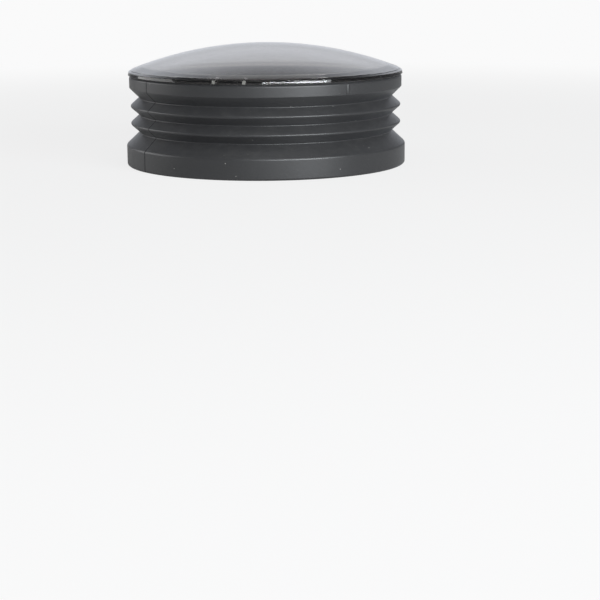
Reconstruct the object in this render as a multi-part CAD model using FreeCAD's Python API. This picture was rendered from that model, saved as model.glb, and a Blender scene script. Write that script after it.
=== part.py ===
import FreeCAD, Part
import math
import os

os.makedirs("parts", exist_ok=True)

# Lengths are in millimetres and angles in degrees.
# Z is the axis of the bellows and its foot stands on Z = 0. The front is -Y, and angles
# round the axis are counted from the front towards +X.

# Skirt, which grips the hopper's rim
hopper_rim_radius = 65.0
rim_seat_height = 8.2
rim_seat_width = 2.6
skirt_wall = 2.2
skirt_height = 9.7
skirt_shoulder_height = 6.05
skirt_corner_chamfer = 0.6
skirt_foot_chamfer = 0.9

# Pleats
pleat_count = 2
pleat_pitch = 8.2
pleat_wall = 1.8
root_radius = 60.7
crest_radius = 65.3
crest_chamfer = 0.35

# Collar, which holds the lid
collar_radius = 65.4
collar_height = 5.35
collar_chamfer_height = 4.7
collar_wall = 3.0
collar_edge_chamfer = 0.35
collar_rim_chamfer = 0.4
pocket_depth = 4.9
ledge_width = 2.0

# Index rib on the outside of the collar
rib_angle = 34.6
rib_width = 2.2
rib_stands_proud = 0.5
rib_root = 1.0

# Seal ring between collar and lid
mouth_clearance = 0.3
seal_flange_thickness = 0.6
seal_flange_setback = 0.5
seal_leg_thickness = 1.0
seal_leg_length = 4.3

# Lid
lid_overhang = 0.45
lid_rim_height = 1.8
lid_wall = 2.0
dome_rise = 12.6
lid_corner_chamfer = 0.4
lid_foot_chamfer = 0.3
plug_wall = 1.8
plug_length = 4.6

# Snap finger, cut free in the lid's plug by two slots
finger_angle = -14.5
finger_width = 11.4
finger_slot_width = 1.6
rim_notch_depth = 0.35

# How far a cutting block runs past what it cuts
cut_margin = 1.0

# Heights and radii that follow from the sizes above
axis = FreeCAD.Vector(0, 0, 1)
centre = FreeCAD.Vector(0, 0, 0)
skirt_radius = hopper_rim_radius + skirt_wall
first_root_height = skirt_height + skirt_shoulder_height
last_root_height = first_root_height + pleat_count * pleat_pitch
collar_edge_height = last_root_height + collar_chamfer_height
collar_top = collar_edge_height + collar_height
collar_bore_radius = collar_radius - collar_wall
ledge_height = collar_top - pocket_depth
seal_leg_radius = collar_bore_radius - mouth_clearance
seal_bore_radius = seal_leg_radius - seal_leg_thickness
seal_top = collar_top + seal_flange_thickness
lid_radius = collar_radius + lid_overhang
plug_radius = seal_bore_radius - mouth_clearance


def point(radius, height):
    """A point of a section, which lies in the plane of X and Z."""
    return FreeCAD.Vector(radius, 0, height)


def turned_ring(corners):
    """A solid turned from the corners of its section: radius, height and chamfer of each.

    The chamfer is the length that it takes off both sides that meet in the corner.
    """
    places = [point(radius, height) for radius, height, chamfer in corners]
    outline = []
    for index, (radius, height, chamfer) in enumerate(corners):
        here = places[index]
        if chamfer > 0:
            back = places[index - 1].sub(here).normalize()
            ahead = places[(index + 1) % len(places)].sub(here).normalize()
            outline.append(here.add(back * chamfer))
            outline.append(here.add(ahead * chamfer))
        else:
            outline.append(here)
    section = Part.Face(Part.makePolygon(outline + [outline[0]]))
    return section.revolve(centre, axis, 360)


def radial_block(angle, inner_radius, outer_radius, width, bottom, top):
    """A block that points outwards at an angle from the front."""
    corner = FreeCAD.Vector(inner_radius, -width / 2, bottom)
    block = Part.makeBox(outer_radius - inner_radius, width, top - bottom, corner)
    block.rotate(centre, axis, angle - 90)
    return block


def pleat_corners(shift, chamfer):
    """The zigzag of roots and crests, moved in by a shift, from the lowest root up."""
    corners = [(root_radius - shift, first_root_height, 0)]
    for pleat in range(pleat_count):
        root_height = first_root_height + pleat * pleat_pitch
        corners.append((crest_radius - shift, root_height + pleat_pitch / 2, chamfer))
        corners.append((root_radius - shift, root_height + pleat_pitch, 0))
    return corners


def make_bellows():
    """One moulding: skirt, pleats and collar, with an even wall through the pleats."""
    flank_angle = math.atan2(crest_radius - root_radius, pleat_pitch / 2)
    shift = pleat_wall / math.cos(flank_angle)
    inner_root_radius = root_radius - shift

    shoulder_slope = skirt_shoulder_height / (skirt_radius - root_radius)
    seat_radius = hopper_rim_radius - rim_seat_width
    seat_top = first_root_height - (seat_radius - inner_root_radius) * shoulder_slope

    chamfer_slope = collar_chamfer_height / (collar_radius - root_radius)
    ledge_radius = collar_bore_radius - ledge_width
    ledge_bottom = last_root_height + (ledge_radius - inner_root_radius) * chamfer_slope

    outside = [
        (hopper_rim_radius, 0, 0),
        (skirt_radius, 0, skirt_foot_chamfer),
        (skirt_radius, skirt_height, skirt_corner_chamfer),
    ]
    outside += pleat_corners(0, crest_chamfer)
    outside += [
        (collar_radius, collar_edge_height, collar_edge_chamfer),
        (collar_radius, collar_top, collar_rim_chamfer),
    ]
    mouth = [
        (collar_bore_radius, collar_top, 0),
        (collar_bore_radius, ledge_height, 0),
        (ledge_radius, ledge_height, 0),
        (ledge_radius, ledge_bottom, 0),
    ]
    inside = pleat_corners(shift, 0)
    inside.reverse()
    seat = [
        (seat_radius, seat_top, 0),
        (seat_radius, rim_seat_height, 0),
        (hopper_rim_radius, rim_seat_height, 0),
    ]
    body = turned_ring(outside + mouth + inside + seat)

    rib = radial_block(
        rib_angle,
        collar_radius - rib_root,
        collar_radius + rib_stands_proud,
        rib_width,
        collar_edge_height + collar_edge_chamfer,
        collar_top - collar_rim_chamfer,
    )
    return body.fuse(rib).removeSplitter()


def make_seal_ring():
    """A ring of L section: its flange lies on the collar and its leg lines the mouth."""
    flange_radius = collar_radius - seal_flange_setback
    leg_bottom = collar_top - seal_leg_length
    return turned_ring([
        (seal_bore_radius, leg_bottom, 0),
        (seal_leg_radius, leg_bottom, 0),
        (seal_leg_radius, collar_top, 0),
        (flange_radius, collar_top, 0),
        (flange_radius, seal_top, 0),
        (seal_bore_radius, seal_top, 0),
    ])


def sphere_about(height, radius):
    """A sphere centred on the axis. Its poles and seam lie clear of the dome at its top."""
    sphere = Part.makeSphere(radius, point(0, height))
    sphere.rotate(point(0, height), FreeCAD.Vector(0, 1, 0), 90)
    return sphere


def make_lid():
    """A domed shell with a short rim and a plug that slides down into the seal ring."""
    rim_top = seal_top + lid_rim_height
    apex = rim_top + dome_rise
    dome_radius = (lid_radius ** 2 + dome_rise ** 2) / (2 * dome_rise)
    dome_centre = apex - dome_radius
    plug_bore_radius = plug_radius - plug_wall
    plug_bottom = seal_top - plug_length

    # The side of the blank leans in above the rim, and the dome cuts it off as a chamfer.
    lean_start = rim_top - lid_corner_chamfer
    lean_end = apex + cut_margin
    blank = turned_ring([
        (0, plug_bottom, 0),
        (plug_radius, plug_bottom, 0),
        (plug_radius, seal_top, 0),
        (lid_radius, seal_top, lid_foot_chamfer),
        (lid_radius, lean_start, 0),
        (lid_radius - (lean_end - lean_start), lean_end, 0),
        (0, lean_end, 0),
    ])
    solid_lid = blank.common(sphere_about(dome_centre, dome_radius))

    bore = Part.makeCylinder(plug_bore_radius, apex - plug_bottom, point(0, plug_bottom))
    lid = solid_lid.cut(bore.common(sphere_about(dome_centre, dome_radius - lid_wall)))

    # The slots free the finger, and a shallow notch above each runs up the rim's side.
    half_span = math.degrees((finger_width + finger_slot_width) / 2 / plug_radius)
    for side in (-1, 1):
        angle = finger_angle + side * half_span
        slot = radial_block(
            angle,
            plug_bore_radius - cut_margin,
            plug_radius + cut_margin,
            finger_slot_width,
            plug_bottom - cut_margin,
            seal_top,
        )
        notch = radial_block(
            angle,
            lid_radius - rim_notch_depth,
            lid_radius + cut_margin,
            finger_slot_width,
            seal_top - cut_margin,
            rim_top + cut_margin,
        )
        lid = lid.cut(slot).cut(notch)
    return lid


bodies = {
    "bellows": make_bellows(),
    "seal_ring": make_seal_ring(),
    "lid": make_lid(),
}
for name, shape in bodies.items():
    shape.exportStep("parts/" + name + ".step")
    box = shape.BoundBox
    print(
        name,
        "solids", len(shape.Solids),
        "valid", shape.isValid(),
        "volume", round(shape.Volume, 1),
        "width", round(box.XLength, 2),
        "from", round(box.ZMin, 2),
        "to", round(box.ZMax, 2),
    )
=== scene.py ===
"""Dresses a pleated bellows: its silicone moulding, its seal ring and its smoke-tinted lid."""

import logging
import math
from dataclasses import dataclass
from enum import Enum
from functools import reduce
from typing import Union

import bpy
from mathutils import Matrix, Quaternion, Vector


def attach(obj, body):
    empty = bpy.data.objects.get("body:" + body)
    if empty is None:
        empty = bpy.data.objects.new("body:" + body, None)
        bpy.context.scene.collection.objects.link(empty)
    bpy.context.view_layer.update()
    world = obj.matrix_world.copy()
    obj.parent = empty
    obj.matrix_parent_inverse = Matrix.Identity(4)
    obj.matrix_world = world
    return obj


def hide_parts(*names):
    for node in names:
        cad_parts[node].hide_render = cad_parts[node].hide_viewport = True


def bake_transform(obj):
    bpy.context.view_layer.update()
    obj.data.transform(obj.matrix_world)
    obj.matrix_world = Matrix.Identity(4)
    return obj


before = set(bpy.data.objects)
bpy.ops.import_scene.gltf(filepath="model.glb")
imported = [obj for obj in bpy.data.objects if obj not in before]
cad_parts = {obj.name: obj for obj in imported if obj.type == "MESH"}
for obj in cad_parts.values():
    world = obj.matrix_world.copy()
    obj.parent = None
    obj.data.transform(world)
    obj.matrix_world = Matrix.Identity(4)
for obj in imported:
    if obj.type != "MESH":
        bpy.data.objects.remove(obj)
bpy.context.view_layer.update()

LOG = logging.getLogger("bellows")
MILLIMETRE = 0.001
FLAT_FACE_WEIGHT = 90

# A count of bounces is told from none between these two values.
FIRST_BOUNCE = (0.4, 0.6)

Colour = tuple[float, float, float, float]
Point = tuple[float, float, float]
Span = tuple[float, float]


class Body(Enum):
    """The bodies that the pieces ride on."""

    BELLOWS = "bellows"
    SEAL_RING = "seal_ring"
    LID = "lid"


class Slot(Enum):
    """The record's material slots."""

    SILICONE = "silicone"
    SEAL = "seal"
    SMOKE_PLASTIC = "smoke_plastic"


class Axis(Enum):
    """The numbers of a point's coordinates."""

    X = 0
    Y = 1
    Z = 2


class Number:
    """A number in a material. Python's operators on it add Math nodes."""

    def __init__(self, shader: "Shader", socket: bpy.types.NodeSocket) -> None:
        """Wraps an output socket of a shader's tree."""
        self.shader = shader
        self.socket = socket

    def math(self, operation: str, *operands: "Operand") -> "Number":
        """Adds one Math node.

        Args:
            operation: The Math node's operation.
            operands: The numbers that go into it, in order.

        Returns:
            The node's result.
        """
        inputs = dict(enumerate(operands))
        node = self.shader.add("ShaderNodeMath", {"operation": operation}, inputs)
        return Number(self.shader, node.outputs[0])

    def __add__(self, other: "Operand") -> "Number":
        """self + other."""
        return self.math("ADD", self, other)

    def __radd__(self, other: "Operand") -> "Number":
        """other + self."""
        return self.math("ADD", other, self)

    def __sub__(self, other: "Operand") -> "Number":
        """self - other."""
        return self.math("SUBTRACT", self, other)

    def __rsub__(self, other: "Operand") -> "Number":
        """other - self."""
        return self.math("SUBTRACT", other, self)

    def __mul__(self, other: "Operand") -> "Number":
        """self * other."""
        return self.math("MULTIPLY", self, other)

    def __abs__(self) -> "Number":
        """The size of self without its sign."""
        return self.math("ABSOLUTE", self)

    def most(self, other: "Operand") -> "Number":
        """The larger of self and other."""
        return self.math("MAXIMUM", self, other)

    def between(self, low: float, high: float) -> "Number":
        """A smooth step from 0 to 1.

        Args:
            low: The value of self at which the step starts.
            high: The value of self at which the step ends.

        Returns:
            0 below low and 1 above high.
        """
        node = self.shader.add(
            "ShaderNodeMapRange",
            {"interpolation_type": "SMOOTHSTEP", "clamp": True},
            {"Value": self, "From Min": low, "From Max": high},
        )
        return Number(self.shader, node.outputs["Result"])

    def span(self, low: "Operand", high: "Operand") -> "Number":
        """low where self is 0, high where it is 1, and in proportion between them."""
        return low + self * (high - low)


Operand = Union[Number, float]


class Shader:
    """The node tree of a material or of the world, and the one method that adds its nodes."""

    def __init__(self, owner: bpy.types.Material | bpy.types.World) -> None:
        """Empties the owner's node tree."""
        owner.use_nodes = True
        self.owner = owner
        self.tree = owner.node_tree
        self.tree.nodes.clear()

    def add(
        self, kind: str, settings: dict[str, object] | None = None, inputs: dict | None = None
    ) -> bpy.types.Node:
        """Adds one node.

        Args:
            kind: The node's type.
            settings: Its own settings, which are set first.
            inputs: Values or links by the name, identifier or number of its sockets.

        Returns:
            The node.
        """
        node = self.tree.nodes.new(kind)
        for name, value in (settings or {}).items():
            setattr(node, name, value)
        for key, value in (inputs or {}).items():
            named = {socket.identifier: socket for socket in node.inputs}
            socket = named.get(key) or node.inputs[key]
            if isinstance(value, Number):
                value = value.socket
            if isinstance(value, bpy.types.NodeSocket):
                self.tree.links.new(value, socket)
            else:
                socket.default_value = value
        return node

    def place(self) -> bpy.types.NodeSocket:
        """The point of the piece that is shaded, in metres."""
        return self.add("ShaderNodeTexCoord").outputs["Object"]

    def part_of_place(self, axis: Axis) -> Number:
        """One coordinate of the point that is shaded."""
        return self.parts(self.place())[axis.value]

    def noise(self, grain: float, detail: float = 3.0, roughness: float = 0.55) -> Number:
        """A cloudy pattern.

        Args:
            grain: The size of its patches in millimetres.
            detail: How many finer patterns are laid over it.
            roughness: How strong those are.

        Returns:
            The pattern, from about 0 to 1.
        """
        node = self.add(
            "ShaderNodeTexNoise",
            {"noise_dimensions": "3D"},
            {
                "Vector": self.place(),
                "Scale": 1.0 / (grain * MILLIMETRE),
                "Detail": detail,
                "Roughness": roughness,
            },
        )
        return Number(self, node.outputs["Fac"])

    def specks(self, spacing: float, size: float) -> Number:
        """Specks strewn through space, of which a surface shows those that it meets.

        Args:
            spacing: How far apart they lie, in millimetres.
            size: How far a speck reaches from its middle, in millimetres.

        Returns:
            1 in a speck and 0 between them.
        """
        node = self.add(
            "ShaderNodeTexVoronoi",
            {"voronoi_dimensions": "3D", "feature": "F1"},
            {"Vector": self.place(), "Scale": 1.0 / (spacing * MILLIMETRE)},
        )
        reach = size / spacing
        distance = Number(self, node.outputs["Distance"])
        return 1.0 - distance.between(reach * 0.5, reach)

    def parts(self, vector: bpy.types.NodeSocket) -> list[Number]:
        """The three coordinates of a vector."""
        node = self.add("ShaderNodeSeparateXYZ", None, {"Vector": vector})
        return [Number(self, output) for output in node.outputs]

    def upward(self) -> Number:
        """1 on a surface that faces up, 0 on a wall and -1 on one that faces down."""
        normal = self.add("ShaderNodeNewGeometry").outputs["Normal"]
        return self.parts(normal)[Axis.Z.value]

    def rays(self) -> tuple[Number, Number, Number]:
        """The kinds of ray that are told apart.

        Returns:
            1 for the camera's own rays, 1 for those through glass that have met nothing matt, and
            1 for mirrored ones. Each is 0 for all others.
        """
        path = self.add("ShaderNodeLightPath").outputs
        names = ("Is Camera Ray", "Is Transmission Ray", "Is Glossy Ray", "Diffuse Depth")
        camera, glass, gloss, bounces = (Number(self, path[name]) for name in names)
        return camera, glass * (1.0 - bounces.between(*FIRST_BOUNCE)), gloss

    def mix(self, factor: Operand, first: object, second: object) -> bpy.types.NodeSocket:
        """Mixes two colours.

        Args:
            factor: 0 for the first colour and 1 for the second.
            first: A colour or a colour socket.
            second: A colour or a colour socket.

        Returns:
            The mixed colour.
        """
        node = self.add(
            "ShaderNodeMix",
            {"data_type": "RGBA", "clamp_factor": True},
            {"Factor_Float": factor, "A_Color": first, "B_Color": second},
        )
        return next(socket for socket in node.outputs if socket.identifier == "Result_Color")

    def bump(self, height: Number, depth: float) -> bpy.types.NodeSocket:
        """Turns a height into a bumpy normal.

        Args:
            height: The height, from 0 to 1.
            depth: How far a height of 1 stands out, in millimetres.

        Returns:
            The normal.
        """
        node = self.add("ShaderNodeBump", None, {"Distance": depth * MILLIMETRE, "Height": height})
        return node.outputs["Normal"]

    def principled(self, inputs: dict[str, object]) -> bpy.types.NodeSocket:
        """Adds a Principled shader and gives its output."""
        return self.add("ShaderNodeBsdfPrincipled", None, inputs).outputs["BSDF"]

    def finish(
        self, surface: bpy.types.NodeSocket, inside: bpy.types.NodeSocket | None = None
    ) -> bpy.types.Material:
        """Ends the material.

        Args:
            surface: Its surface shader.
            inside: What its inside does to light that goes through.

        Returns:
            The material.
        """
        shaders = {"Surface": surface}
        if inside is not None:
            shaders["Volume"] = inside
        self.add("ShaderNodeOutputMaterial", None, shaders)
        return self.owner


@dataclass(frozen=True)
class SiliconeFinish:
    """Matt moulded silicone with a fine grain, a parting line whose dark colour is painted shade,
    rubbed patches and stray dust.
    """

    deep: Colour = (0.027, 0.027, 0.028, 1.0)
    worn: Colour = (0.034, 0.034, 0.036, 1.0)
    dust: Colour = (0.42, 0.41, 0.38, 1.0)
    # Painted shade: the parting line's dark colour stands in for the shadow along its ridge.
    line: Colour = (0.006, 0.006, 0.006, 1.0)
    worn_share: float = 0.12
    film_share: float = 0.025
    speck_share: float = 0.75
    line_shade_share: float = 0.85
    roughness: float = 0.36
    film_roughness: float = 0.06
    speck_roughness: float = 0.2
    line_roughness: float = 0.5
    grain_relief: float = 0.35
    wave_relief: float = 0.5
    line_relief: float = 1.2
    relief_depth: float = 0.05
    parting_angle: float = -57.0
    parting_width: float = 0.9

    def parting_line(self, shader: Shader) -> Number:
        """The line that the two halves of the mould leave on both sides of the piece, a raised
        ridge whose dark colour is painted shade.
        """
        angle = math.radians(self.parting_angle)
        across = shader.part_of_place(Axis.X) * math.cos(angle)
        away = abs(across + shader.part_of_place(Axis.Y) * math.sin(angle))
        half = self.parting_width * MILLIMETRE / 2
        return 1.0 - away.between(half * 0.6, half)

    def make(self) -> bpy.types.Material:
        """Makes the material.

        Returns:
            The silicone, ready to put on a piece.
        """
        shader = Shader(bpy.data.materials.new("matt_silicone"))
        patches = shader.noise(grain=14.0, detail=4.0).between(0.35, 0.7)
        grain = shader.noise(grain=0.45, detail=2.0)
        wave = shader.noise(grain=3.0, detail=2.0)
        line = self.parting_line(shader)
        smudges = shader.noise(grain=5.0, detail=5.0, roughness=0.7).between(0.4, 0.75)
        film = shader.upward().between(0.2, 0.9) * smudges
        specks = shader.specks(spacing=6.0, size=0.26).most(shader.specks(spacing=2.4, size=0.09))

        colour = shader.mix(patches * self.worn_share, self.deep, self.worn)
        colour = shader.mix(film * self.film_share, colour, self.dust)
        colour = shader.mix(specks * self.speck_share, colour, self.dust)
        # Painted shade: darkens the parting line as if its ridge cast a shadow.
        colour = shader.mix(line * self.line_shade_share, colour, self.line)
        relief = grain * self.grain_relief + wave * self.wave_relief
        height = relief + line * self.line_relief + specks
        added = film * self.film_roughness + specks * self.speck_roughness
        surface = shader.principled({
            "Base Color": colour,
            "Roughness": self.roughness + added + line * self.line_roughness,
            "Specular IOR Level": 0.5,
            "Sheen Weight": 0.03,
            "Sheen Roughness": 0.45,
            "Sheen Tint": (0.85, 0.9, 1.0, 1.0),
            "Normal": shader.bump(height, self.relief_depth),
        })
        return shader.finish(surface)


@dataclass(frozen=True)
class SealFinish:
    """Black seal rubber with a faint bloom, which is rougher."""

    rubber: Colour = (0.010, 0.010, 0.011, 1.0)
    bloom: Colour = (0.026, 0.026, 0.027, 1.0)
    roughness: float = 0.48

    def make(self) -> bpy.types.Material:
        """Makes the material.

        Returns:
            The rubber, ready to put on a piece.
        """
        shader = Shader(bpy.data.materials.new("seal_rubber"))
        bloom = shader.noise(grain=6.0, detail=4.0).between(0.4, 0.7)
        surface = shader.principled({
            "Base Color": shader.mix(bloom, self.rubber, self.bloom),
            "Roughness": self.roughness + bloom * 0.14,
            "Normal": shader.bump(shader.noise(grain=0.3, detail=2.0), 0.02),
        })
        return shader.finish(surface)


@dataclass(frozen=True)
class SmokeFinish:
    """Clear smoke-tinted plastic with a slight moulding wave, fine rubs and a few specks.

    The smoke is in the plastic, so a thick place is darker than a thin one.
    """

    clear: Colour = (0.98, 0.98, 0.98, 1.0)
    smoke: Colour = (0.14, 0.10, 0.06, 1.0)
    density: float = 215.0
    dust: Colour = (0.55, 0.54, 0.5, 1.0)
    roughness: float = 0.025
    refraction: float = 1.55
    speck_share: float = 0.7
    frost_share: float = 0.3
    frost_ring: Span = (62.5, 63.0)
    frost_fade: float = 0.2
    frost_edge: float = 0.05

    def frost(self, shader: Shader, angles: list[float], width: float, top: float) -> Number:
        """The matt ground in the rim's notches.

        Args:
            shader: The shader that it is for.
            angles: The notches' angles from the front in degrees.
            width: Their width in millimetres.
            top: The level of their upper end in millimetres.

        Returns:
            1 in a notch and 0 outside.
        """
        east, north, height = shader.parts(shader.place())
        low = 1.0 - height.between(top * MILLIMETRE, (top + self.frost_fade) * MILLIMETRE)
        start, end = (radius * MILLIMETRE for radius in self.frost_ring)
        half = width * MILLIMETRE / 2
        notches = []
        for angle in angles:
            turn = math.radians(angle)
            away = abs(east * math.cos(turn) + north * math.sin(turn))
            ahead = (east * math.sin(turn) - north * math.cos(turn)).between(start, end)
            edge = away.between(half * (1.0 - self.frost_edge), half * (1.0 + self.frost_edge))
            notches.append((1.0 - edge) * ahead)
        return reduce(Number.most, notches) * low

    def make(self, angles: list[float], width: float, top: float) -> bpy.types.Material:
        """Makes the material.

        Args:
            angles: The angles of the rim's notches from the front in degrees.
            width: Their width in millimetres.
            top: The level of their upper end in millimetres.

        Returns:
            The plastic, ready to put on a piece.
        """
        shader = Shader(bpy.data.materials.new("smoke_plastic"))
        rubs = shader.noise(grain=9.0, detail=6.0, roughness=0.7).between(0.45, 0.8)
        wave = shader.noise(grain=30.0, detail=1.0)
        plastic = shader.principled({
            "Base Color": self.clear,
            "Roughness": self.roughness + rubs * 0.02,
            "IOR": self.refraction,
            "Transmission Weight": 1.0,
            "Normal": shader.bump(wave, 0.015),
        })
        specks = shader.specks(spacing=7.0, size=0.2).most(shader.specks(spacing=3.0, size=0.08))
        dust = shader.principled({"Base Color": self.dust, "Roughness": 0.9})
        frost = self.frost(shader, angles, width, top)
        cover = (specks * self.speck_share).most(frost * self.frost_share)
        surface = shader.add("ShaderNodeMixShader", None, {0: cover, 1: plastic, 2: dust})
        smoke = shader.add(
            "ShaderNodeVolumeAbsorption", None, {"Color": self.smoke, "Density": self.density}
        )
        return shader.finish(surface.outputs[0], smoke.outputs["Volume"])


@dataclass(frozen=True)
class PaleFloorFinish:
    """The floor's plain pale paint."""

    paint: Colour = (0.64, 0.637, 0.63, 1.0)
    shown: Colour = (0.955, 0.955, 0.957, 1.0)
    evenness: float = 0.84
    in_gloss: float = 0.12
    hidden_radius: float = 67.2
    hidden_fade: float = 0.01
    shadow_reach: float = 140.0
    shadow_end: float = 700.0

    def make(self) -> bpy.types.Material:
        """Makes the material.

        Returns:
            The paint, which the camera sees evenly pale with the bellows' soft shadow on it.
        """
        shader = Shader(bpy.data.materials.new("pale_floor"))
        clouds = shader.noise(grain=180.0, detail=3.0)
        paint = shader.principled({
            "Base Color": self.paint,
            "Roughness": 0.8 + clouds * 0.1,
            "Specular IOR Level": 0.1,
        })
        even = shader.add("ShaderNodeEmission", None, {"Color": self.shown, "Strength": 1.0})
        camera, glass, gloss = shader.rays()
        hidden_from = self.hidden_radius * (1.0 - self.hidden_fade)
        open_ground = self.outside(shader, hidden_from, self.hidden_radius)
        glass = glass * open_ground
        shade = 1.0 - self.outside(shader, self.shadow_reach, self.shadow_end)
        evenness = 1.0 - shade * (1.0 - self.evenness)
        share = (camera.most(glass) * evenness).most(gloss * self.in_gloss)
        surface = shader.add(
            "ShaderNodeMixShader", None, {0: share, 1: paint, 2: even.outputs["Emission"]}
        )
        return shader.finish(surface.outputs[0])

    def outside(self, shader: Shader, near: float, far: float) -> Number:
        """0 within a near radius of the bellows' axis, and 1 past a far one."""
        east, north, _ = shader.parts(shader.place())
        square = east * east + north * north
        return square.between((near * MILLIMETRE) ** 2, (far * MILLIMETRE) ** 2)


@dataclass(frozen=True)
class Corner:
    """A corner of a turned section: its radius, height and rounding in millimetres."""

    radius: float
    height: float
    rounding: float = 0.0

    def place(self) -> Vector:
        """The corner in the section's plane, in metres."""
        return Vector((self.radius, 0.0, self.height)) * MILLIMETRE


@dataclass(frozen=True)
class Lathe:
    """Turns sections round the upright axis."""

    steps: int = 256
    rounding_steps: int = 6
    reach_limit: float = 0.45
    merge_distance: float = 1e-6
    crease_angle: float = 38.0

    def rounded(self, corners: list[Corner]) -> list[Vector]:
        """The points of a section with its corners rounded off.

        Args:
            corners: The corners in order. The first and last stay sharp.

        Returns:
            The points, in metres.
        """
        places = [corner.place() for corner in corners]
        points = [places[0]]
        for index in range(1, len(corners) - 1):
            here = places[index]
            rounding = corners[index].rounding * MILLIMETRE
            if rounding == 0.0:
                points.append(here)
                continue
            back = places[index - 1] - here
            ahead = places[index + 1] - here
            half = back.angle(ahead) / 2
            longest = self.reach_limit * min(back.length, ahead.length)
            reach = min(rounding / math.tan(half), longest)
            middle = here + (back.normalized() + ahead.normalized()).normalized() * (
                reach / math.cos(half)
            )
            enter = here + back.normalized() * reach - middle
            leave = here + ahead.normalized() * reach - middle
            turn = enter.rotation_difference(leave)
            for step in range(self.rounding_steps + 1):
                share = step / self.rounding_steps
                points.append(middle + Quaternion().slerp(turn, share) @ enter)
        points.append(places[-1])
        return points

    def draw(self, points: list[Vector], closed: bool) -> bpy.types.Object:
        """Draws a section as a chain of edges.

        Args:
            points: The points of the section.
            closed: Whether the last point is joined to the first.

        Returns:
            The new object, in edit mode with all of it selected.
        """
        bpy.ops.object.select_all(action="DESELECT")
        bpy.ops.mesh.primitive_plane_add(size=MILLIMETRE, location=points[0])
        section = bpy.context.object
        bpy.ops.object.transform_apply(location=True, rotation=True, scale=True)
        bpy.ops.object.mode_set(mode="EDIT")
        bpy.ops.mesh.select_all(action="SELECT")
        bpy.ops.mesh.merge(type="CENTER")
        for start, end in zip(points, points[1:]):
            bpy.ops.mesh.extrude_region_move(TRANSFORM_OT_translate={"value": end - start})
        bpy.ops.mesh.select_all(action="SELECT")
        if closed:
            bpy.ops.mesh.remove_doubles(threshold=self.merge_distance)
        return section

    def turn(self, name: str, points: list[Vector], closed: bool) -> bpy.types.Object:
        """Turns a section all the way round.

        Args:
            name: The name of the new piece.
            points: The points of the section.
            closed: Whether the section is closed. An open one starts and ends on the axis.

        Returns:
            The turned piece.
        """
        piece = self.draw(points, closed)
        bpy.ops.mesh.spin(
            steps=self.steps, angle=math.tau, center=(0.0, 0.0, 0.0), axis=(0.0, 0.0, 1.0)
        )
        bpy.ops.mesh.select_all(action="SELECT")
        bpy.ops.mesh.remove_doubles(threshold=self.merge_distance)
        bpy.ops.mesh.normals_make_consistent(inside=False)
        bpy.ops.object.mode_set(mode="OBJECT")
        piece.name = name
        piece.data.name = name
        return piece


def smooth(piece: bpy.types.Object, angle: float) -> None:
    """Shades a piece smooth with flat faces kept flat.

    Args:
        piece: The piece.
        angle: The angle in degrees past which an edge stays sharp.
    """
    select_only(piece)
    bpy.ops.object.shade_smooth_by_angle(angle=math.radians(angle))
    weighting = piece.modifiers.new("flat_faces", "WEIGHTED_NORMAL")
    weighting.keep_sharp = True
    weighting.weight = FLAT_FACE_WEIGHT
    bpy.ops.object.modifier_apply(modifier=weighting.name)


def select_only(piece: bpy.types.Object) -> None:
    """Selects one piece and makes it the active one."""
    bpy.ops.object.select_all(action="DESELECT")
    piece.select_set(True)
    bpy.context.view_layer.objects.active = piece


def around(radius: float, angle: float, height: float) -> Vector:
    """A point in metres.

    Args:
        radius: Its distance from the axis in millimetres.
        angle: Its angle from the front towards +X in degrees.
        height: Its height in millimetres.

    Returns:
        The point.
    """
    turn = math.radians(angle)
    return Vector((radius * math.sin(turn), -radius * math.cos(turn), height)) * MILLIMETRE


def block(
    name: str, angle: float, radii: tuple[float, float], width: float, heights: tuple[float, float]
) -> bpy.types.Object:
    """A block that points outwards.

    Args:
        name: Its name.
        angle: Its angle from the front in degrees.
        radii: Its inner and outer radius in millimetres.
        width: Its width across in millimetres.
        heights: Its lowest and highest level in millimetres.

    Returns:
        The block, with its place in its mesh.
    """
    bpy.ops.object.select_all(action="DESELECT")
    middle = around(sum(radii) / 2, angle, sum(heights) / 2)
    bpy.ops.mesh.primitive_cube_add(
        size=1.0, location=middle, rotation=(0.0, 0.0, math.radians(angle))
    )
    piece = bpy.context.object
    piece.name = name
    piece.scale = Vector((width, radii[1] - radii[0], heights[1] - heights[0])) * MILLIMETRE
    bpy.ops.object.transform_apply(location=True, rotation=True, scale=True)
    return piece


def cut_away(piece: bpy.types.Object, cutter: bpy.types.Object) -> None:
    """Takes one piece's space out of another, and deletes the cutter."""
    select_only(piece)
    cut = piece.modifiers.new("cut", "BOOLEAN")
    cut.operation = "DIFFERENCE"
    cut.solver = "EXACT"
    cut.object = cutter
    bpy.ops.object.modifier_apply(modifier=cut.name)
    bpy.data.objects.remove(cutter, do_unlink=True)


def dress(piece: bpy.types.Object, material: bpy.types.Material) -> None:
    """Gives a piece its material."""
    piece.data.materials.clear()
    piece.data.materials.append(material)


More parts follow.
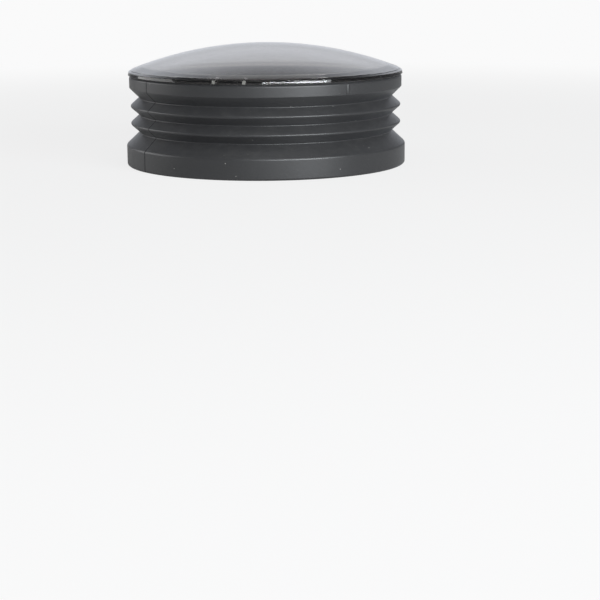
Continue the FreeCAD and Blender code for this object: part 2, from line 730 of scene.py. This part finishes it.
@dataclass
class Bellows:
    """The silicone moulding. Lengths are in millimetres and angles in degrees."""

    lathe: Lathe
    finish: SiliconeFinish
    hopper_rim_radius: float = 65.0
    rim_seat_height: float = 8.2
    rim_seat_width: float = 2.6
    skirt_wall: float = 2.2
    skirt_height: float = 9.7
    skirt_shoulder_height: float = 6.05
    skirt_corner_rounding: float = 1.5
    skirt_foot_rounding: float = 1.3
    pleat_count: int = 2
    pleat_pitch: float = 8.2
    pleat_wall: float = 1.8
    root_radius: float = 60.7
    crest_radius: float = 65.3
    root_rounding: float = 0.35
    crest_rounding: float = 0.8
    collar_radius: float = 65.4
    collar_height: float = 5.35
    collar_chamfer_height: float = 4.7
    collar_wall: float = 3.0
    collar_rounding: float = 0.5
    collar_top_rounding: float = 0.9
    mouth_rounding: float = 0.3
    pocket_depth: float = 4.9
    ledge_width: float = 2.0
    rib_angle: float = 34.6
    rib_width: float = 2.2
    rib_stands_proud: float = 0.5
    rib_rounding: float = 0.25
    rib_sides: int = 32
    rib_rounding_steps: int = 3

    @property
    def skirt_radius(self) -> float:
        """The outside of the skirt."""
        return self.hopper_rim_radius + self.skirt_wall

    @property
    def first_root_height(self) -> float:
        """The level of the lowest root."""
        return self.skirt_height + self.skirt_shoulder_height

    @property
    def last_root_height(self) -> float:
        """The level of the highest root."""
        return self.first_root_height + self.pleat_count * self.pleat_pitch

    @property
    def collar_edge_height(self) -> float:
        """The level of the collar's lower edge."""
        return self.last_root_height + self.collar_chamfer_height

    @property
    def collar_top(self) -> float:
        """The level of the collar's top."""
        return self.collar_edge_height + self.collar_height

    @property
    def collar_bore_radius(self) -> float:
        """The inside of the collar's mouth."""
        return self.collar_radius - self.collar_wall

    def pleats(self, shift: float, valley: float, ridge: float) -> list[Corner]:
        """The zigzag of roots and crests.

        Args:
            shift: How far it is moved in from the outside.
            valley: The rounding of the roots.
            ridge: The rounding of the crests.

        Returns:
            The corners from the lowest root up.
        """
        corners = [Corner(self.root_radius - shift, self.first_root_height, valley)]
        for pleat in range(self.pleat_count):
            root = self.first_root_height + pleat * self.pleat_pitch
            corners.append(Corner(self.crest_radius - shift, root + self.pleat_pitch / 2, ridge))
            corners.append(Corner(self.root_radius - shift, root + self.pleat_pitch, valley))
        return corners

    def section(self) -> list[Corner]:
        """The corners of the moulding's section, once round.

        Returns:
            The corners, of which the last is the first again.
        """
        flank = math.atan2(self.crest_radius - self.root_radius, self.pleat_pitch / 2)
        shift = self.pleat_wall / math.cos(flank)
        inner_root = self.root_radius - shift
        shoulder_slope = self.skirt_shoulder_height / (self.skirt_radius - self.root_radius)
        seat_radius = self.hopper_rim_radius - self.rim_seat_width
        seat_top = self.first_root_height - (seat_radius - inner_root) * shoulder_slope
        chamfer_slope = self.collar_chamfer_height / (self.collar_radius - self.root_radius)
        ledge_radius = self.collar_bore_radius - self.ledge_width
        ledge_height = self.collar_top - self.pocket_depth
        ledge_bottom = self.last_root_height + (ledge_radius - inner_root) * chamfer_slope

        start = Corner(self.hopper_rim_radius, 0.0)
        outside = [
            start,
            Corner(self.skirt_radius, 0.0, self.skirt_foot_rounding),
            Corner(self.skirt_radius, self.skirt_height, self.skirt_corner_rounding),
            *self.pleats(0.0, self.root_rounding, self.crest_rounding),
            Corner(self.collar_radius, self.collar_edge_height, self.collar_rounding),
            Corner(self.collar_radius, self.collar_top, self.collar_top_rounding),
        ]
        mouth = [
            Corner(self.collar_bore_radius, self.collar_top, self.mouth_rounding),
            Corner(self.collar_bore_radius, ledge_height),
            Corner(ledge_radius, ledge_height, self.mouth_rounding),
            Corner(ledge_radius, ledge_bottom, self.mouth_rounding),
        ]
        inside = self.pleats(shift, self.crest_rounding, self.root_rounding)
        inside.reverse()
        seat = [
            Corner(seat_radius, seat_top, self.mouth_rounding),
            Corner(seat_radius, self.rim_seat_height, self.mouth_rounding),
            Corner(self.hopper_rim_radius, self.rim_seat_height),
            start,
        ]
        return outside + mouth + inside + seat

    def index_rib(self) -> bpy.types.Object:
        """The short half-round rib that stands upright on the outside of the collar.

        Returns:
            The rib, whose inner half is inside the collar's wall.
        """
        half = self.rib_width / 2
        proud = self.rib_stands_proud
        radius = (half ** 2 + proud ** 2) / (2 * proud)
        bottom = self.collar_edge_height + self.collar_rounding
        top = self.collar_top - self.collar_rounding
        middle = self.collar_radius + proud - radius
        bpy.ops.object.select_all(action="DESELECT")
        bpy.ops.mesh.primitive_cylinder_add(
            vertices=self.rib_sides,
            radius=radius * MILLIMETRE,
            depth=(top - bottom) * MILLIMETRE,
            location=around(middle, self.rib_angle, (top + bottom) / 2),
        )
        rib = bpy.context.object
        rib.name = "index_rib"
        bpy.ops.object.transform_apply(location=True, rotation=True, scale=True)
        for edge in rib.data.edges:
            ends = [rib.data.vertices[vertex].co.z for vertex in edge.vertices]
            edge.select = abs(ends[0] - ends[1]) < MILLIMETRE
        bpy.ops.object.mode_set(mode="EDIT")
        bpy.ops.mesh.select_mode(type="EDGE")
        bpy.ops.mesh.bevel(
            offset=self.rib_rounding * MILLIMETRE, segments=self.rib_rounding_steps
        )
        bpy.ops.mesh.select_mode(type="VERT")
        bpy.ops.object.mode_set(mode="OBJECT")
        return rib

    def build(self) -> bpy.types.Object:
        """Makes the moulding and dresses it.

        Returns:
            The moulding.
        """
        moulding = self.lathe.turn(
            "pleated_moulding", self.lathe.rounded(self.section()), closed=True
        )
        rib = self.index_rib()
        select_only(moulding)
        rib.select_set(True)
        bpy.ops.object.join()
        smooth(moulding, self.lathe.crease_angle)
        dress(moulding, self.finish.make())
        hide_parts("bellows")
        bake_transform(moulding)
        return moulding


@dataclass
class SealRing:
    """The seal between collar and lid. Lengths are in millimetres."""

    lathe: Lathe
    finish: SealFinish
    bellows: Bellows
    mouth_clearance: float = 0.3
    flange_thickness: float = 0.6
    flange_setback: float = 0.5
    leg_thickness: float = 1.0
    leg_length: float = 4.3
    lip_rounding: float = 0.2

    @property
    def leg_radius(self) -> float:
        """The outside of the leg."""
        return self.bellows.collar_bore_radius - self.mouth_clearance

    @property
    def bore_radius(self) -> float:
        """The inside of the ring."""
        return self.leg_radius - self.leg_thickness

    @property
    def top(self) -> float:
        """The level of the flange's top."""
        return self.bellows.collar_top + self.flange_thickness

    def build(self) -> bpy.types.Object:
        """Makes and dresses the ring.

        Returns:
            The ring.
        """
        collar_top = self.bellows.collar_top
        leg_bottom = collar_top - self.leg_length
        flange_radius = self.bellows.collar_radius - self.flange_setback
        start = Corner(self.leg_radius, (leg_bottom + collar_top) / 2)
        corners = [
            start,
            Corner(self.leg_radius, collar_top),
            Corner(flange_radius, collar_top, self.lip_rounding),
            Corner(flange_radius, self.top, self.lip_rounding),
            Corner(self.bore_radius, self.top, self.lip_rounding),
            Corner(self.bore_radius, leg_bottom, self.lip_rounding),
            Corner(self.leg_radius, leg_bottom, self.lip_rounding),
            start,
        ]
        ring = self.lathe.turn("collar_seal", self.lathe.rounded(corners), closed=True)
        smooth(ring, self.lathe.crease_angle)
        dress(ring, self.finish.make())
        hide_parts("seal_ring")
        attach(ring, Body.SEAL_RING.value)
        return ring


@dataclass
class Lid:
    """The domed plug lid. Lengths are in millimetres and angles in degrees."""

    lathe: Lathe
    finish: SmokeFinish
    seal: SealRing
    overhang: float = 0.45
    rim_height: float = 1.8
    wall: float = 2.0
    dome_rise: float = 12.6
    step_setback: float = 1.4
    step_lean: float = 0.06
    step_height: float = 0.2
    land_height: float = 44.3
    upper_side_setback: float = 0.19
    upper_side_height: float = 0.75
    lower_side_height: float = 0.25
    corner_rounding: float = 0.25
    foot_rounding: float = 0.3
    plug_wall: float = 1.8
    plug_length: float = 4.6
    plug_rounding: float = 0.5
    inner_rounding: float = 0.8
    dome_steps: int = 56
    finger_angle: float = -14.5
    finger_width: float = 11.4
    finger_slot_width: float = 1.6
    rim_notch_depth: float = 0.35
    cut_margin: float = 1.0

    @property
    def radius(self) -> float:
        """The outside of the rim."""
        return self.seal.bellows.collar_radius + self.overhang

    @property
    def rim_top(self) -> float:
        """The level at which the dome would meet the rim's side."""
        return self.seal.top + self.rim_height

    @property
    def plug_radius(self) -> float:
        """The outside of the plug."""
        return self.seal.bore_radius - self.seal.mouth_clearance

    @property
    def plug_bore(self) -> float:
        """The inside of the plug."""
        return self.plug_radius - self.plug_wall

    @property
    def plug_bottom(self) -> float:
        """The level of the plug's lower end."""
        return self.seal.top - self.plug_length

    def dome_height(self, radius: float, depth: float) -> float:
        """The level of the dome.

        Args:
            radius: The distance from the axis.
            depth: How far inside the dome's outer surface.

        Returns:
            The level there.
        """
        sphere = (self.radius ** 2 + self.dome_rise ** 2) / (2 * self.dome_rise)
        centre = self.rim_top + self.dome_rise - sphere
        return centre + math.sqrt((sphere - depth) ** 2 - radius ** 2)

    def dome(self, outer: float, depth: float) -> list[Corner]:
        """Points along the dome from the axis outwards.

        Args:
            outer: The radius of the last point.
            depth: How far inside the dome's outer surface.

        Returns:
            The points.
        """
        radii = [outer * step / self.dome_steps for step in range(self.dome_steps + 1)]
        return [Corner(radius, self.dome_height(radius, depth)) for radius in radii]

    def section(self) -> list[Vector]:
        """The points of the lid's section from the top of its dome to the roof inside.

        Returns:
            The points, in metres.
        """
        outer_end = self.radius - self.step_setback
        upper_side = self.radius - self.upper_side_setback
        outer_dome = self.dome(outer_end, 0.0)
        inner_dome = self.dome(self.plug_bore - 2 * self.inner_rounding, self.wall)
        inner_dome.reverse()
        rim = [
            Corner(outer_end + self.step_lean, outer_dome[-1].height - self.step_height),
            Corner(upper_side, self.land_height, self.corner_rounding),
            Corner(upper_side, self.seal.top + self.upper_side_height),
            Corner(self.radius, self.seal.top + self.lower_side_height),
            Corner(self.radius, self.seal.top, self.foot_rounding),
            Corner(self.plug_radius, self.seal.top),
            Corner(self.plug_radius, self.plug_bottom, self.plug_rounding),
            Corner(self.plug_bore, self.plug_bottom, self.plug_rounding),
            Corner(
                self.plug_bore, self.dome_height(self.plug_bore, self.wall), self.inner_rounding
            ),
        ]
        return self.lathe.rounded(outer_dome + rim + inner_dome)

    def slot_angles(self) -> list[float]:
        """The angles of the slots and notches, from the front in degrees."""
        span = self.finger_width + self.finger_slot_width
        half_span = math.degrees(span / 2 / self.plug_radius)
        return [self.finger_angle - half_span, self.finger_angle + half_span]

    def cut_slots(self, lid: bpy.types.Object) -> None:
        """Cuts the two slots that free the snap finger, and the notch above each.

        Args:
            lid: The turned lid.
        """
        for angle in self.slot_angles():
            cut_away(lid, block(
                "slot",
                angle,
                (self.plug_bore - self.cut_margin, self.plug_radius + self.cut_margin),
                self.finger_slot_width,
                (self.plug_bottom - self.cut_margin, self.seal.top),
            ))
            cut_away(lid, block(
                "notch",
                angle,
                (self.radius - self.rim_notch_depth, self.radius + self.cut_margin),
                self.finger_slot_width,
                (self.seal.top - self.cut_margin, self.rim_top + self.cut_margin),
            ))

    def build(self) -> bpy.types.Object:
        """Makes and dresses the lid.

        Returns:
            The lid.
        """
        lid = self.lathe.turn("domed_lid", self.section(), closed=False)
        self.cut_slots(lid)
        smooth(lid, self.lathe.crease_angle)
        material = self.finish.make(self.slot_angles(), self.finger_slot_width, self.land_height)
        dress(lid, material)
        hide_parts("lid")
        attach(lid, Body.LID.value)
        return lid


@dataclass(frozen=True)
class Softbox:
    """A rectangular lamp that faces the bellows. Lengths are in metres and angles in degrees."""

    name: str
    azimuth: float
    elevation: float
    distance: float
    width: float
    height: float
    power: float
    colour: tuple[float, float, float] = (1.0, 1.0, 1.0)
    target: Point = (0.0, 0.0, 0.03)

    def build(self) -> bpy.types.Object:
        """Hangs the lamp.

        Returns:
            The lamp.
        """
        azimuth = math.radians(self.azimuth)
        elevation = math.radians(self.elevation)
        away = Vector((
            math.sin(azimuth) * math.cos(elevation),
            -math.cos(azimuth) * math.cos(elevation),
            math.sin(elevation),
        ))
        data = bpy.data.lights.new(self.name, "AREA")
        data.shape = "RECTANGLE"
        data.size = self.width
        data.size_y = self.height
        data.energy = self.power
        data.color = self.colour
        lamp = bpy.data.objects.new(self.name, data)
        bpy.context.scene.collection.objects.link(lamp)
        lamp.location = Vector(self.target) + away * self.distance
        lamp.rotation_mode = "QUATERNION"
        lamp.rotation_quaternion = (-away).to_track_quat("-Z", "Y")
        return lamp


@dataclass
class Studio:
    """The floor, the lamps and the light from all round. Lengths are in metres.

    The backdrop's spans are where it fades in or out, as coordinates of a direction of length 1.
    """

    floor_finish: PaleFloorFinish
    floor_width: float = 9.0
    floor_gap: float = 0.00002
    ambient: float = 0.18
    mirrored: float = 0.20
    mirrored_behind: float = 0.85
    mirrored_above: float = 1.25
    mirrored_colour: Colour = (0.95, 0.98, 1.05, 1.0)
    plain_colour: Colour = (1.0, 1.0, 1.0, 1.0)
    backdrop_side: Span = (0.28, 0.48)
    backdrop_back: Span = (0.6, 0.84)
    backdrop_rise: Span = (0.18, 0.40)
    lamps: tuple[Softbox, ...] = (
        Softbox("front_right_strip", 24.0, 16.0, 1.1, 1.05, 0.19, 12.0, (0.93, 0.97, 1.0)),
        Softbox("front_right_softbox", 38.0, 12.0, 1.4, 0.8, 0.7, 9.5, (0.93, 0.97, 1.0)),
        Softbox("overhead_softbox", 10.0, 62.0, 1.2, 1.0, 1.0, 2.2),
        Softbox("left_softbox", -105.0, 12.0, 1.0, 0.9, 0.6, 3.4),
    )

    def lay_floor(self) -> bpy.types.Object:
        """Lays the floor under the foot of the skirt.

        Returns:
            The floor.
        """
        bpy.ops.object.select_all(action="DESELECT")
        place = (0.0, 0.0, -self.floor_gap)
        bpy.ops.mesh.primitive_plane_add(size=self.floor_width, location=place)
        floor = bpy.context.object
        floor.name = "floor"
        floor.data.materials.append(self.floor_finish.make())
        return floor

    def light_world(self) -> None:
        """Lights the scene from all round.

        The camera and glass see it white. Gloss sees a bright side behind the bellows, as in a
        studio with a pale backdrop.
        """
        world = bpy.data.worlds.new("plain_light")
        bpy.context.scene.world = world
        shader = Shader(world)
        camera, glass, gloss = shader.rays()
        light = gloss.span(self.ambient, self.backdrop(shader))
        light = camera.most(glass).span(light, 1.0)
        colour = shader.mix(gloss, self.plain_colour, self.mirrored_colour)
        background = shader.add("ShaderNodeBackground", None, {"Color": colour, "Strength": light})
        shader.add("ShaderNodeOutputWorld", None, {"Surface": background.outputs["Background"]})

    def backdrop(self, shader: Shader) -> Number:
        """The brightness that gloss sees all round, by its direction.

        Args:
            shader: The world's shader.

        Returns:
            The brightness, which is high in a window behind the bellows and low elsewhere.
        """
        heading = shader.add("ShaderNodeTexCoord").outputs["Generated"]
        east, north, up = shader.parts(heading)
        pale = up.between(*self.backdrop_rise).span(self.mirrored_behind, self.mirrored_above)
        inside = 1.0 - abs(east).between(*self.backdrop_side)
        window = north.between(*self.backdrop_back) * inside
        return window.span(self.mirrored, pale)

    def build(self) -> None:
        """Sets up the whole studio."""
        self.lay_floor()
        self.light_world()
        for lamp in self.lamps:
            lamp.build()
        bpy.context.scene.view_settings.view_transform = "Standard"


@dataclass(frozen=True)
class Viewpoint:
    """The camera. Lengths are in millimetres and angles in degrees."""

    distance: float = 777.9
    height: float = 102.8
    yaw: float = 1.171
    pitch: float = 12.474
    roll: float = -0.393
    lens: float = 96.27
    sensor: float = 36.0
    nearest: float = 10.0

    def build(self) -> bpy.types.Object:
        """Sets up the camera at the photograph's viewing angle.

        Returns:
            The camera.
        """
        data = bpy.data.cameras.new("camera")
        data.lens = self.lens
        data.sensor_width = self.sensor
        data.clip_start = self.nearest * MILLIMETRE
        camera = bpy.data.objects.new("camera", data)
        bpy.context.scene.collection.objects.link(camera)
        heading = Matrix.Rotation(math.radians(-self.yaw), 4, "Z")
        tilt = Matrix.Rotation(math.radians(90.0 - self.pitch), 4, "X")
        bank = Matrix.Rotation(math.radians(self.roll), 4, "Z")
        place = Vector((0.0, -self.distance, self.height)) * MILLIMETRE
        camera.matrix_world = Matrix.Translation(place) @ heading @ tilt @ bank
        bpy.context.scene.camera = camera
        return camera


def report(piece: bpy.types.Object) -> None:
    """Logs a piece's name and how many faces it has."""
    LOG.info("%s: %d faces", piece.name, len(piece.data.polygons))


def main() -> None:
    """Builds the pieces in order, and the studio and camera round them."""
    logging.basicConfig(level=logging.INFO, format="%(name)s: %(message)s")
    lathe = Lathe()
    bellows = Bellows(lathe, SiliconeFinish())
    seal = SealRing(lathe, SealFinish(), bellows)
    lid = Lid(lathe, SmokeFinish(), seal)
    for assembly in (bellows, seal, lid):
        report(assembly.build())
    Studio(PaleFloorFinish()).build()
    Viewpoint().build()


if __name__ == "__main__":
    main()
